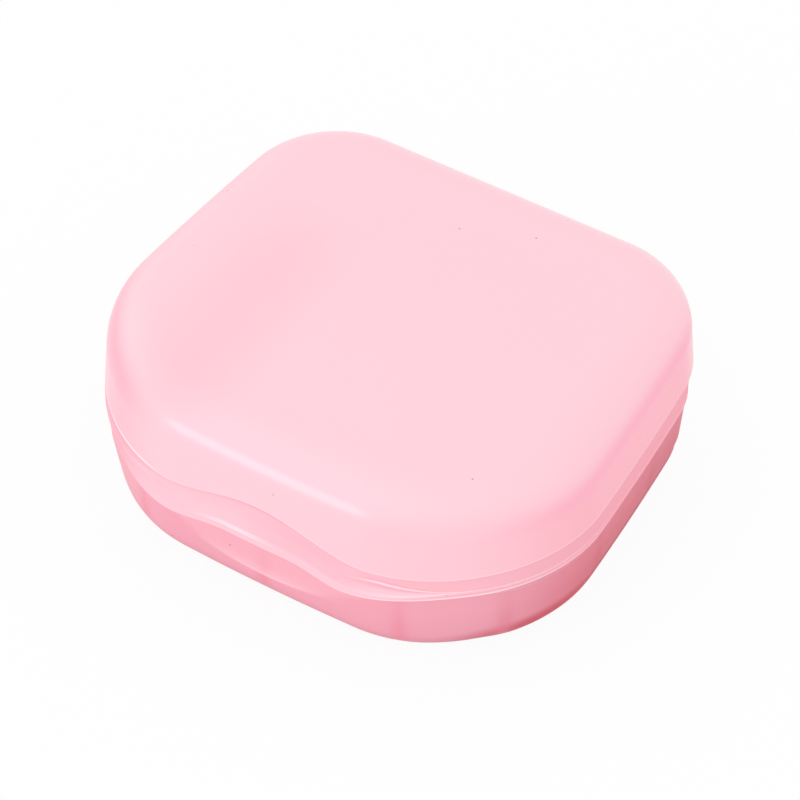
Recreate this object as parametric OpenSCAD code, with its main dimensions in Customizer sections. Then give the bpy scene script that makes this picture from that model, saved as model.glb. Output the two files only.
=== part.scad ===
// Hinged travel case for a denture.
// A deep base and a domed lid meet at a parting line near mid height. The plan is a rounded
// trapezoid: wide at the front, where the lid has its lift lip, and narrow at the hinge.
// Origin: centre of the footprint, on the surface the case stands on. Front is -Y, hinge is +Y.

/* [Plan outline] */
// Width across the front, measured to the corner of the trapezoid
front_w = 85; // [76:1:96]
// Width across the hinge side, measured to the corner of the trapezoid
back_w = 77; // [70:1:84]
// Depth from the front wall to the hinge wall
depth = 72; // [66:1:84]
// Radius of the two front corners in plan
front_r = 25.5; // [20:0.5:29]
// Radius of the two hinge side corners in plan
back_r = 17; // [13:0.5:21]
// How far the front wall bows outwards at its middle
front_bow = 2.5; // [0:0.1:4]
// How far the side walls bow outwards at their middle
side_bow = 1.3; // [0:0.1:2.5]

/* [Heights] */
// Height of the lid's rim above the table, where the two shells part
parting_z = 14.2; // [13.2:0.1:16.2]
// Height of the step line that runs round the lid
step_z = 18.1; // [17.8:0.1:20]
// Height where the rounded top edge of the lid ends
top_z = 31.9; // [30:0.1:38]
// Extra height of the lid's crown at its middle
crown_h = 0.8; // [0.2:0.1:1.5]

/* [Lid shell] */
// Wall of the lid
lid_wall = 1.5; // [1.2:0.1:1.9]
// Horizontal reach of the rounded top edge
top_round_w = 8.2; // [6:0.1:9]
// Vertical reach of the rounded top edge
top_round_h = 7.4; // [5:0.1:9]
// How far the lid wall leans in below the rounded edge
lid_draft = 0.6; // [0.2:0.1:1]
// Depth of the step under the step line
step_in = 0.35; // [0.2:0.05:0.6]
// How far the rim lies inside the outline along the sides
rim_in = 0.05; // [0:0.05:0.4]
// How much further in the rim lies along the hinge side
rim_back_in = 1.4; // [1:0.1:1.6]
// Height of the brim at the foot of the lid, along the sides
brim_h = 1.2; // [1.1:0.1:1.6]
// How much higher the brim's upper edge gets on its way to the lift lip
brim_rise = 1.6; // [0.8:0.1:2]
// Wall of the lid at its rim
rim_wall = 1.3; // [1:0.1:1.6]

/* [Lift lip] */
// How far the lip stands out of the outline
lip_out = 2.1; // [1.4:0.1:3]
// Half the width over which the lip stands out fully
lip_flat = 13; // [10:0.5:18]
// Half the width where the lip has run out into the corners
lip_end = 33; // [30:0.5:38]
// Depth of the thumb dip in the middle of the lip
lip_dip = 1.3; // [0:0.05:1.4]
// Half the width of the deepest part of the thumb dip
dip_flat = 5.5; // [3:0.5:7]
// Width over which the dip runs out on each side
dip_run = 10.5; // [7:0.5:12]
// Height of the lip's front face
lip_face_h = 1.2; // [1:0.1:2]
// How much lower the brim's face gets where a sloping skirt joins it to the lip
skirt_drop = 0.2; // [0:0.05:0.25]
// Share of the sweep from the lip to the arch that lies below the fold
fold_share = 0.4; // [0.3:0.05:0.5]
// How far the step line arches up over the lip
arch_h = 3.7; // [1:0.1:5]
// Half the width of the arch
arch_half_w = 18; // [12:0.5:20]
// Hollow of the sweep between the arch and the lip
dish = 0.7; // [0:0.1:0.9]

/* [Base shell] */
// Gap between the lid's rim and the base's shoulder
rim_gap = 0.2; // [0.1:0.05:0.3]
// Wall of the base, from the shoulder's edge to the cavity
base_wall = 2.7; // [2.5:0.1:3.2]
// How much further in the base wall lies along the hinge side
base_back_in = 2.6; // [2.4:0.1:2.8]
// How much further in the cavity lies along the hinge side
cavity_back_in = 1.8; // [1.6:0.1:2.4]
// How far the base wall leans in towards its foot
base_draft = 0.45; // [0.2:0.05:1]
// Radius of the rounded foot of the base
foot_r = 4.8; // [3:0.1:5.5]
// Floor thickness
floor_t = 1.6; // [1.2:0.1:2.4]
// How much further in the base wall lies under the lip
chin_in = 0.4; // [0.1:0.1:0.6]
// Height of the collar that locates the lid
collar_h = 2.6; // [1.6:0.1:3]
// Gap between the collar and the lid
collar_gap = 0.3; // [0.25:0.05:0.4]

/* [Thumb scoop] */
// Depth of the scoop under the lip
scoop_d = 1.2; // [0.8:0.1:1.4]
// Half the width of the scoop, where its curved lower edge runs out under the lid
scoop_half_w = 24; // [16:0.5:27]
// Lowest height of the scoop's curved lower edge
scoop_z = 6.4; // [6:0.1:8]

/* [Inner ribs and tray] */
// Thickness of each rib in the base
rib_t = 1.6; // [1:0.1:2.4]
// How far a rib's shelf reaches in from the wall
rib_reach = 5; // [4:0.1:7]
// Height of the shelf that carries the tray
shelf_z = 5.4; // [4.5:0.1:6]
// How far a rib stands in from the wall beside the tray
rib_nose = 1.1; // [0.8:0.1:1.6]
// Height where a rib runs out in the wall
rib_top_z = 11.5; // [9:0.1:12.5]
// Gap between the tray and the ribs that hold it in place
tray_gap = 0.5; // [0.4:0.1:1]
// Thickness of the tray's plate
tray_t = 1.4; // [1:0.1:2]
// Height of the tray's rim above its plate
tray_rim_h = 3; // [2:0.1:5]
// Wall of the tray's rim
tray_wall = 1.2; // [1:0.1:1.6]
// Radius of a drain hole
drain_r = 1.6; // [1:0.1:2]
// Distance between drain holes
drain_pitch = 8; // [6:0.5:12]
// Width of a finger notch in the tray's rim
notch_w = 16; // [12:1:22]

/* [Hinge and snap] */
// Radius of the hinge pin
pin_r = 1; // [0.8:0.05:1.1]
// Radius of the knuckles round the pin
knuckle_r = 1.95; // [1.85:0.05:2.1]
// Distance from the outline's back to the pin's axis
pin_in = 1.3; // [1.2:0.05:1.4]
// Distance from the parting line down to the pin's axis
pin_drop = 2.4; // [2.3:0.05:2.7]
// Length of the hinge pin
pin_len = 36; // [32:0.5:40]
// Length of each lid knuckle
lid_knuckle_w = 8; // [6:0.5:9]
// Length of each end knuckle on the base
end_knuckle_w = 6; // [5:0.5:7]
// Thickness of the webs that hang the lid knuckles from the rim
web_t = 1; // [0.8:0.05:1]
// Gap between neighbouring knuckles
knuckle_gap = 0.3; // [0.2:0.05:0.5]
// Clearance of the pin in the lid's knuckles
pin_run = 0.06; // [0.03:0.01:0.1]
// Clearance of the pin in the base's knuckles
pin_seat = 0.02; // [0.01:0.01:0.03]
// Length of the snap bead at the front of the collar
bead_len = 16; // [8:1:22]
// Radius of the snap bead
bead_r = 0.7; // [0.5:0.05:0.8]
// How far the bead stands out of the collar
bead_out = 0.2; // [0.1:0.01:0.2]

/* [Hidden] */
$fn = 48;
pink = [0.96, 0.62, 0.69, 0.8];
pale_pink = [1, 0.8, 0.84, 0.8];
steel = [0.78, 0.79, 0.8];

// Segments of the outline in the front, each front corner, each side, each back corner and the back
front_n = 24;
front_corner_n = 16;
side_n = 8;
back_corner_n = 8;
back_n = 10;

// ---- plan outline ----
half_y = depth / 2;
lean = atan2((front_w - back_w) / 2, depth);
function corner_x(y, r) = front_w / 2 - ((y + half_y) * sin(lean) + r) / cos(lean);
front_c = [corner_x(front_r - half_y, front_r), front_r - half_y];
back_c = [corner_x(half_y - back_r, back_r), half_y - back_r];

function unit(a) = [cos(a), sin(a)];
function flip_x(p) = [-p.x, p.y];
function corner(c, r, a0, a1, count) = [for (i = [0:count - 1])
    let (n = unit(a0 + (a1 - a0) * i / count)) [c + r * n, n]];
function straight(p, q, n, count) = [for (i = [0:count - 1]) [p + (q - p) * i / count, n]];

// Each entry is a point of the outline with its outward normal, anticlockwise from the front left
OUTLINE = concat(
    straight(flip_x(front_c) + front_r * unit(270), front_c + front_r * unit(270), unit(270), front_n),
    corner(front_c, front_r, -90, lean, front_corner_n),
    straight(front_c + front_r * unit(lean), back_c + back_r * unit(lean), unit(lean), side_n),
    corner(back_c, back_r, lean, 90, back_corner_n),
    straight(back_c + back_r * unit(90), flip_x(back_c) + back_r * unit(90), unit(90), back_n),
    corner(flip_x(back_c), back_r, 90, 180 - lean, back_corner_n),
    straight(flip_x(back_c) + back_r * unit(180 - lean), flip_x(front_c) + front_r * unit(180 - lean),
        unit(180 - lean), side_n),
    corner(flip_x(front_c), front_r, 180 - lean, 270, front_corner_n));

// The walls bow outwards, most at their middles
function clip(v) = min(1, max(0, v));
function bowed(p) = [
    p.x + sign(p.x) * side_bow * clip(1 - pow(p.y / half_y, 2)) * clip(abs(p.x) * 2 / front_w),
    p.y - front_bow * clip(1 - pow(p.x * 2 / front_w, 2)) * clip(-p.y / half_y)];
function offset_pt(s, off) = bowed(s[0] + off * s[1]);

// ---- weights along the outline ----
function smooth(v) = let (c = clip(v)) c * c * (3 - 2 * c);
function bell(x, half_w) = abs(x) < half_w ? pow(cos(90 * x / half_w), 2) : 0;
function at_front(s) = smooth(-s[0].y / 10);
function at_back(s) = smooth((s[0].y - half_y / 2) / (half_y * 0.4));
function at_lip(s) = at_front(s) * bell(max(0, abs(s[0].x) - lip_flat), lip_end - lip_flat);
function at_dip(s) = at_front(s) * (1 - smooth((abs(s[0].x) - dip_flat) / dip_run));
function at_arch(s) = at_front(s) * bell(s[0].x, arch_half_w);
function at_face(s) = at_front(s) * (1 - smooth((abs(s[0].x) - lip_flat) / 8));
function at_chin(s) = at_front(s) * (1 - smooth((abs(s[0].x) - lip_end) / 4));
function mix(a, b, w) = a + (b - a) * w;

// ---- lofted shells ----
// A station is [offset along the normal, scale about the centre, height]
function station_pt(s, st) = let (p = offset_pt(s, st[0]) * st[1]) [p.x, p.y, st[2]];

// Closed skin over columns of stations, with a pole at each end of the columns
module skin(columns, first_z, last_z) {
    n = len(columns);
    m = len(columns[0]);
    points = concat([for (i = [0:n - 1]) for (st = columns[i]) station_pt(OUTLINE[i], st)],
        [[0, 0, first_z], [0, 0, last_z]]);
    function id(i, j) = (i % n) * m + j;
    faces = concat(
        [for (i = [0:n - 1]) for (j = [0:m - 2]) each
            [[id(i, j), id(i, j + 1), id(i + 1, j + 1)], [id(i, j), id(i + 1, j + 1), id(i + 1, j)]]],
        [for (i = [0:n - 1]) [n * m, id(i, 0), id(i + 1, 0)]],
        [for (i = [0:n - 1]) [n * m + 1, id(i + 1, m - 1), id(i, m - 1)]]);
    polyhedron(points, faces);
}

// ---- lid ----
crown_z = top_z + crown_h;
inner_wall_in = lid_draft + lid_wall;
function side_rim(s) = -rim_in - rim_back_in * at_back(s);
function rim_out(s) = mix(side_rim(s), lip_out, at_lip(s)) - lip_dip * at_dip(s);
function rim_inner(s) = side_rim(s) - rim_wall;
function step_at(s) = step_z + arch_h * at_arch(s);

// Edges of the rim and of the lip's face, height of the skirt along the sides, least height of the band
rim_edge = 0.2;
lip_edge = 0.3;
skirt_h = 0.25;
band_h = 0.4;

// Upwards from the rim: its face up to edge_z, a skirt up to the fold, a band up to the step.
// In the middle of the front, skirt and band are one hollow sweep from the lip to the arch.
function band_top(s) = step_at(s) - 0.15;
function edge_z(s) = parting_z
    + mix(brim_h - skirt_h - skirt_drop * clip(rim_out(s) - side_rim(s)), lip_face_h, at_face(s));
function edge_off(s) = rim_out(s) - lip_edge * at_lip(s);
function hollow(s, f) = dish * at_lip(s) * at_face(s) * sin(180 * f);
function fold_off(s) = mix(side_rim(s) - 0.02,
    mix(edge_off(s), -step_in, fold_share) - hollow(s, fold_share), at_face(s));
function fold_z(s) = mix(min(parting_z + brim_h + brim_rise * at_lip(s), band_top(s) - band_h),
    mix(edge_z(s), band_top(s), fold_share), at_face(s));
function band_off(s) = fold_off(s) - step_in * (1 - at_face(s));
function band_z(s) = fold_z(s) + 0.05;

// Points of the skirt and the band at a share k of their height, on the hollow sweep
function skirt_pt(s, k) = [mix(edge_off(s), fold_off(s) + hollow(s, fold_share), k)
    - hollow(s, k * fold_share), 1, mix(edge_z(s), fold_z(s), k)];
function band_pt(s, k) = [mix(band_off(s) + hollow(s, fold_share), -step_in, k)
    - hollow(s, mix(fold_share, 1, k)), 1, mix(band_z(s), band_top(s), k)];

// Rise of the crown at a share k of the way from the middle to the rounded edge
function crown_rise(k) = crown_h * pow(1 - k * k, 2);

// From the middle of the ceiling down the inside, round the rim and up the outside
function lid_column(s) = concat(
    [for (k = [0.3, 0.6, 0.85]) [-inner_wall_in - top_round_w + lid_wall, k,
         top_z - lid_wall + crown_rise(k)]],
    [for (t = [90, 67.5, 45, 22.5, 0])
        [-inner_wall_in - (top_round_w - lid_wall) * (1 - cos(t)), 1,
         top_z - lid_wall - (top_round_h - lid_wall) * (1 - sin(t))]],
    [[-inner_wall_in - rim_back_in * at_back(s) * 0.5, 1, step_z + 1.2],
     [rim_inner(s), 1, step_z - 0.4],
     [rim_inner(s), 1, parting_z],
     [rim_out(s) - rim_edge, 1, parting_z],
     [rim_out(s), 1, parting_z + rim_edge],
     [rim_out(s), 1, edge_z(s) - mix(0.05, lip_edge, at_lip(s))],
     [edge_off(s), 1, edge_z(s)],
     skirt_pt(s, 0.5),
     [fold_off(s), 1, fold_z(s)]],
    [for (k = [0, 1 / 3, 2 / 3, 1]) band_pt(s, k)],
    [[-0.1, 1, step_at(s) - 0.1],
     [0, 1, step_at(s) + 0.1],
     [-0.05, 1, step_at(s) + 0.5]],
    [for (t = [0, 15, 30, 45, 60, 75, 90])
        [-lid_draft - top_round_w * (1 - cos(t)), 1, top_z - top_round_h * (1 - sin(t))]],
    [for (k = [0.85, 0.6, 0.3]) [-lid_draft - top_round_w, k, top_z + crown_rise(k)]]);

// ---- base ----
shoulder_z = parting_z - rim_gap;
collar_z = shoulder_z + collar_h;
side_in = rim_in + 0.05;
function base_out(s) = -side_in - base_back_in * at_back(s) - chin_in * at_chin(s);
function collar_out(s) = rim_inner(s) - collar_gap;
function cavity_in(s) = -side_in - base_wall - cavity_back_in * at_back(s);

// The scoop is a flat leaning cut: its lower edge is a curve, and it is deepest at the shoulder
function scoop_low(s) = mix(scoop_z, shoulder_z, clip(pow(s[0].x / scoop_half_w, 2)));
function scoop_depth(s, z) = scoop_d * at_front(s) * max(0, z - scoop_low(s)) / (shoulder_z - scoop_z);
function wall_off(s, z) = base_out(s) - scoop_depth(s, z) - base_draft * (shoulder_z - z) / shoulder_z;
function crease_z(s) = min(scoop_low(s), shoulder_z - 1);

// From the middle of the underside up the outside, over the collar and down to the floor
function base_column(s) = concat(
    [[wall_off(s, 0) - foot_r, 0.5, 0]],
    [for (t = [90, 70, 50, 30, 12]) [wall_off(s, 0) - foot_r * (1 - cos(t)), 1, foot_r * (1 - sin(t))]],
    [for (z = [foot_r, mix(foot_r, crease_z(s), 0.5), crease_z(s), mix(crease_z(s), shoulder_z, 0.5),
        shoulder_z - 0.3]) [wall_off(s, z), 1, z]],
    [[wall_off(s, shoulder_z) - 0.25, 1, shoulder_z],
     [collar_out(s), 1, shoulder_z],
     [collar_out(s), 1, collar_z - 0.4],
     [collar_out(s) - 0.3, 1, collar_z],
     [cavity_in(s), 1, collar_z]],
    [[cavity_in(s) - 0.2, 1, foot_r + 1]],
    [for (t = [20, 45, 70, 90]) [cavity_in(s) - 0.2 - (foot_r - floor_t) * (1 - cos(t)), 1,
         floor_t + (foot_r + 1 - floor_t) * (1 - sin(t))]],
    [[cavity_in(s) - foot_r, 0.5, floor_t]]);

// ---- hinge ----
pin_y = half_y - pin_in;
pin_z = parting_z - pin_drop;
lid_knuckle_x = pin_len / 2 - end_knuckle_w - knuckle_gap - lid_knuckle_w / 2;
mid_knuckle_w = 2 * (lid_knuckle_x - lid_knuckle_w / 2 - knuckle_gap);

module along_x(r, w) {
    translate([0, pin_y, pin_z]) rotate([0, 90, 0]) cylinder(r = r, h = w, center = true);
}

// Barrel on the base with the gusset that ties it to the back wall
module base_knuckle(w) {
    gusset_y = half_y - side_in - base_back_in - base_wall / 2;
    along_x(knuckle_r, w);
    translate([-w / 2, gusset_y, pin_z - knuckle_r]) cube([w, pin_y - gusset_y, knuckle_r * 2]);
}

// Barrel on the lid with the web that hangs it from the rim
module lid_knuckle(w) {
    web_y = half_y - rim_in - rim_back_in - web_t;
    along_x(knuckle_r, w);
    translate([-w / 2, web_y, pin_z]) cube([w, web_t, pin_drop + brim_h]);
}

// ---- ribs ----
// A rib stands against the cavity wall and carries the tray on its shelf
module rib(s) {
    wall_pt = offset_pt(s, cavity_in(s));
    root = 0.8;
    foot_z = floor_t - 0.3;
    translate([wall_pt.x, wall_pt.y, 0]) rotate([90, 0, atan2(s[1].y, s[1].x) + 180])
        linear_extrude(rib_t, center = true)
            polygon([[foot_r / 4, foot_z], [rib_reach, foot_z], [rib_reach, shelf_z],
                [rib_nose, shelf_z], [rib_nose, shelf_z + 1.2], [-root, rib_top_z], [-root, foot_r + 1]]);
}

// Samples of the outline where ribs stand: middle of the front, then about every 20 mm
corner_0 = front_n;
side_0 = corner_0 + front_corner_n;
corner_1 = side_0 + side_n;
back_0 = corner_1 + back_corner_n;
half_n = back_0 + back_n / 2;
right_ribs = [corner_0 + 3, corner_0 + 9, side_0, side_0 + 5, corner_1 + 4];
function mirrored(i) = (front_n - i + 2 * half_n - front_n) % (2 * half_n - front_n);
rib_samples = concat([front_n / 2], right_ribs, [for (i = right_ribs) mirrored(i)]);

// Bead along the front of the collar, against which the lid's front wall grips
module snap_bead() {
    front = OUTLINE[front_n / 2];
    translate([0, offset_pt(front, collar_out(front)).y + bead_r - bead_out, mix(shoulder_z, collar_z, 0.5)])
        rotate([0, 90, 0]) cylinder(r = bead_r, h = bead_len, center = true);
}

module base_shell() {
    color(pink) difference() {
        union() {
            skin([for (s = OUTLINE) base_column(s)], 0, floor_t);
            for (i = rib_samples) rib(OUTLINE[i]);
            base_knuckle(mid_knuckle_w);
            for (side = [-1, 1]) translate([side * (pin_len - end_knuckle_w) / 2, 0, 0])
                base_knuckle(end_knuckle_w);
            snap_bead();
        }
        along_x(pin_r + pin_seat, pin_len + 1);
        for (side = [-1, 1]) translate([side * lid_knuckle_x, 0, 0])
            along_x(knuckle_r + knuckle_gap, lid_knuckle_w + 2 * knuckle_gap);
    }
}

module lid_shell() {
    color(pale_pink) difference() {
        union() {
            skin([for (s = OUTLINE) lid_column(s)], crown_z - lid_wall, crown_z);
            for (side = [-1, 1]) translate([side * lid_knuckle_x, 0, 0]) lid_knuckle(lid_knuckle_w);
        }
        along_x(pin_r + pin_run, pin_len + 1);
    }
}

module hinge_pin() {
    color(steel) along_x(pin_r, pin_len);
}

// ---- tray ----
tray_z = shelf_z;
tray_in = side_in + base_wall + rib_nose + tray_gap;
module tray_outline(extra) {
    polygon([for (s = OUTLINE) offset_pt(s, -tray_in - cavity_back_in * at_back(s) - extra)]);
}

module drain_tray() {
    hole_reach = tray_in + tray_wall + drain_r + 4;
    cols = floor((front_w / 2 - hole_reach - 4) / drain_pitch);
    rows = floor((half_y - hole_reach) / drain_pitch);
    color(pale_pink) difference() {
        translate([0, 0, tray_z]) linear_extrude(tray_t + tray_rim_h) tray_outline(0);
        translate([0, 0, tray_z + tray_t]) linear_extrude(tray_rim_h + 1) tray_outline(tray_wall);
        translate([-notch_w / 2, -half_y, tray_z + tray_t + 1]) cube([notch_w, depth, tray_rim_h]);
        for (i = [-cols:cols]) for (j = [-rows:rows])
            if (abs(i) + abs(j) < cols + rows)
                translate([i * drain_pitch, j * drain_pitch, tray_z - 1])
                    cylinder(r = drain_r, h = tray_t + 2);
    }
}

base_shell();
lid_shell();
hinge_pin();
drain_tray();
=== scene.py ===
import math

import bmesh
import bpy
from mathutils import Matrix, Vector


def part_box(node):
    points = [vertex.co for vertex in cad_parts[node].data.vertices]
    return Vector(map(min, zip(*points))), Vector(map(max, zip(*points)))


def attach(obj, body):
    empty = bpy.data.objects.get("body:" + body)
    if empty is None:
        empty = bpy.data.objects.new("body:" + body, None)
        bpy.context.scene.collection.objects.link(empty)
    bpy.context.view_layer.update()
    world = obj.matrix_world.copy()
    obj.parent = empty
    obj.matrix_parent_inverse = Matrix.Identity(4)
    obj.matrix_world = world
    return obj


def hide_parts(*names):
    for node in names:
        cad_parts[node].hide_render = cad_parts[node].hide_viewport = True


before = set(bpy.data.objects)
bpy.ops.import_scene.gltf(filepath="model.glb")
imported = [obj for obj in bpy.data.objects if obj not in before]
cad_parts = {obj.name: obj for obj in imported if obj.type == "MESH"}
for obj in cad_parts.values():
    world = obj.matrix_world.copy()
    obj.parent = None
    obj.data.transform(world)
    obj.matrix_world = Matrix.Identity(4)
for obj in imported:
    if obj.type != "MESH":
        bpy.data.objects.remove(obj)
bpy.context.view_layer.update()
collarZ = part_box("base_shell")[1].z
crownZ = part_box("lid_shell")[1].z
pinLow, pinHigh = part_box("hinge_pin")
trayLow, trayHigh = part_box("drain_tray")
print("frame loaded")


# plan outline: a rounded trapezoid with slightly bowed sides
plan = {
    "frontWidth": 0.085,
    "backWidth": 0.077,
    "depth": 0.072,
    "frontRadius": 0.0255,
    "backRadius": 0.017,
    "frontBow": 0.0025,
    "sideBow": 0.0013,
    "pace": 0.001,                  # distance between the samples
    "swell": 0.0003,                # how far the lower part stands out at the sides
    "swellZ": (0.0183, -0.0016),    # height at which it ends, and the run of that change
    "swellTurn": (0.5, 0.6),        # turn from the front at which it starts, and its run
}
halfDepth = plan["depth"] / 2
lean = math.atan2((plan["frontWidth"] - plan["backWidth"]) / 2, plan["depth"])


def clip(value):
    return min(1.0, max(0.0, value))


def smooth(value):
    share = clip(value)
    return share * share * (3 - 2 * share)


def ramp(value, start, run):
    # rises from 0 at the start to 1 at the end of the run; a negative run lies before the start
    return smooth((value - start) / run)


def bell(distance, halfWidth):
    return math.cos(math.pi / 2 * distance / halfWidth) ** 2 if abs(distance) < halfWidth else 0.0


def mix(first, second, share):
    return first + (second - first) * share


def heading(angle):
    return Vector((math.cos(angle), math.sin(angle)))


def bowed(point):
    across = point.x * 2 / plan["frontWidth"]
    along = point.y / halfDepth
    side = plan["sideBow"] * clip(1 - along ** 2) * clip(abs(across))
    front = plan["frontBow"] * clip(1 - across ** 2) * clip(-along)
    return Vector((point.x + math.copysign(side, point.x), point.y - front))


def cornerCentre(y, radius):
    return Vector((plan["frontWidth"] / 2 - ((y + halfDepth) * math.sin(lean) + radius) / math.cos(lean), y))


frontCentre = cornerCentre(plan["frontRadius"] - halfDepth, plan["frontRadius"])
backCentre = cornerCentre(halfDepth - plan["backRadius"], plan["backRadius"])
quarter = math.pi / 2
corners = [      # centre, radius, first and last heading of each corner, anticlockwise
    (frontCentre, plan["frontRadius"], -quarter, lean),
    (backCentre, plan["backRadius"], lean, quarter),
    (Vector((-backCentre.x, backCentre.y)), plan["backRadius"], quarter, 2 * quarter - lean),
    (Vector((-frontCentre.x, frontCentre.y)), plan["frontRadius"], 2 * quarter - lean, 3 * quarter),
]


def cornerPoint(number, share):
    centre, radius, first, last = corners[number % 4]
    normal = heading(mix(first, last, share))
    return centre + radius * normal, normal


def sidePoint(number, share):
    # on the straight stretch that follows a corner
    start, normal = cornerPoint(number, 1)
    end, _ = cornerPoint(number + 1, 0)
    return start.lerp(end, share), normal


# forms of the two shells; a pair is for the plain brim and the lip, if nothing else is said
lid = {
    "wall": 0.0015,
    "crown": 0.0008,        # rise of the crown over the rounded edge
    "roundWidth": 0.0082,   # reach of the rounded top edge
    "roundHeight": 0.0074,
    "draft": 0.0006,
    "rimZ": 0.0142,         # height of the parting line
    "rimIn": 0.00005,
    "rimBackIn": 0.0014,
    "rimWall": 0.0013,
    "rimDraft": 0.00003,
    "stepZ": 0.0181,        # height of the step line
    "stepIn": 0.00035,
    "stepDrop": 0.00015,    # from the step line to the top of the band
    "stepRise": 0.0006,     # from the step line to the plain wall
    "stepDraft": 0.00005,
    "brimHeight": 0.0012,
    "brimRise": 0.0016,
    "brimDraft": 0.00002,
    "foldShare": 0.4,       # where the fold lies on the sweep of the tab
    "foldRise": 0.00005,
    "ledgeLeft": 0.25,      # what is left of the ledge over the fold, past the corners
    "lipOut": 0.0021,
    "lipFlat": 0.013,
    "lipEnd": 0.033,
    "dip": 0.0013,
    "dipFlat": 0.0055,
    "dipRun": 0.0105,
    "dish": 0.0004,
    "faceHeight": 0.0012,
    "faceRun": 0.008,
    "skirtDrop": 0.0004,
    "skirtRun": 0.001,
    "archHeight": 0.0037,
    "archHalf": 0.018,
    "edgeIn": (0.00005, 0.00025),
    "edgeDrop": (0.00005, 0.0003),
    "edgeRound": (0.00004, 0.0003),
    "brimRound": (0.00004, 0.0004),
    "foldRound": (0.00012, 0.0008),
    "bandRound": (0.0001, 0.0008),
    "stepRound": (0.00008, 0.0003),     # under and over the step line
    "mouthRound": (0.0003, 0.00015),    # inside and outside
    "insideRound": 0.0005,
    "insideRise": 0.0012,               # the inner wall's bend, over and under the step line
    "insideDrop": 0.0004,
    "insideStart": 0.001,
    "crownShares": (0.05, 0.15, 0.3, 0.45, 0.6, 0.75, 0.88, 0.96),
    "insideSteps": 10,
    "outsideSteps": 16,
}
base = {
    "rimGap": 0.0002,
    "underRim": 0.00005,
    "wall": 0.0027,
    "backIn": 0.0026,
    "cavityBackIn": 0.0018,
    "cavityDraft": 0.0002,
    "draft": 0.00045,
    "sideDraft": 0.00055,       # how much more the wall leans in at the sides
    "sideTurn": (0.35, 0.7),    # turn from the front at which that starts, and its run
    "footRadius": 0.0048,
    "footSteps": 10,
    "innerRise": 0.001,
    "innerSteps": 8,
    "floor": 0.0016,
    "chinIn": 0.0004,
    "chinRun": 0.004,
    "collarGap": 0.0003,
    "scoopDepth": 0.0012,
    "scoopHalf": 0.024,
    "scoopZ": 0.0064,
    "scoopEnd": 0.003,          # the crease stays this far under the shoulder
    "shoulderDrop": 0.0004,
    "shoulderRound": 0.00025,
    "rootRound": 0.0002,
    "collarRound": (0.0004, 0.0003),    # outside and inside
    "poleShares": (0.1, 0.3, 0.5, 0.7, 0.9),
}
topZ = crownZ - lid["crown"]
shoulderZ = lid["rimZ"] - base["rimGap"]
sideIn = lid["rimIn"] + base["underRim"]

# where forms and tones change along the outline, the tones being painted highlights and shade; a pair is
# start and run
fades = {
    "front": (0.0, -0.01),                      # over y, as are the next two
    "ahead": (0.032, -0.012),
    "back": (halfDepth / 2, halfDepth * 0.4),
    "side": (0.65, 1.1),                        # painted shade of the sides, over the turn from the front
    "sideLeast": 0.5,                           # share of the painted side shade that is left at the back
    "foldX": (0.013, 0.009),
    "foldSide": 0.45,                           # how much the painted side shade takes from the fold line's painted highlight
    # where the painted shade at the foot begins on the right, over x
    "footX": (0.027, 0.012),
    "lipX": -0.004,                             # middle of the painted highlight on the lip's edge
    "lipHalf": 0.009,
    "rightHalf": (0.25, 0.5),                   # from the left side's painted shade to the right side's
    "leftRun": 0.75,
}


class Spot:
    # one place along the outline, with its share in the lip, the dip, the arch and so on
    def __init__(self, point, normal):
        self.point, self.normal = point, normal
        self.ribShade = 0.0
        self.turned = math.acos(max(-1.0, min(1.0, -normal.y)))     # 0 in front, pi at the hinge
        self.right = (1 + normal.x) / 2
        x = abs(point.x)
        front = ramp(point.y, *fades["front"])
        self.front = front
        self.back = ramp(point.y, *fades["back"])
        self.lip = front * bell(max(0, x - lid["lipFlat"]), lid["lipEnd"] - lid["lipFlat"])
        self.dip = front * (1 - ramp(x, lid["dipFlat"], lid["dipRun"]))
        self.arch = front * bell(x, lid["archHalf"])
        self.face = front * (1 - ramp(x, lid["lipFlat"], lid["faceRun"]))
        self.chin = front * (1 - ramp(x, lid["lipEnd"], base["chinRun"]))
        self.scoopLow = shoulderZ
        if front > 0:
            self.scoopLow = mix(base["scoopZ"], shoulderZ, clip((x / base["scoopHalf"]) ** 2))
        # painted shade: the colour is deepest on the right side, where less light falls, and palest in front
        ahead = ramp(point.y, *fades["ahead"])
        self.side = ramp(self.turned, *fades["side"]) * mix(fades["sideLeast"], 1, ahead)
        # painted highlights on the lip's edge and the fold line, and painted shade at the foot
        self.lipShine = front * bell(point.x - fades["lipX"], fades["lipHalf"])
        self.foldShine = front * ramp(point.x, *fades["foldX"]) * (1 - fades["foldSide"] * self.side)
        self.footShade = ramp(point.x, *fades["footX"]) * ahead

    def at(self, offset, scale=1.0, height=1.0):
        low = ramp(height, *plan["swellZ"])
        swell = plan["swell"] * low * ramp(self.turned, *plan["swellTurn"]) * (1 - self.back)
        return bowed(self.point + (offset + swell) * self.normal) * scale


def outlineSpots():
    spots = []
    for number, (_, radius, first, last) in enumerate(corners):
        count = math.ceil(radius * (last - first) / plan["pace"])
        spots += [Spot(*cornerPoint(number, i / count)) for i in range(count)]
        length = (cornerPoint(number, 1)[0] - cornerPoint(number + 1, 0)[0]).length
        count = 2 * math.ceil(length / plan["pace"] / 2)
        spots += [Spot(*sidePoint(number, i / count)) for i in range(count)]
    return spots


spots = outlineSpots()


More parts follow.
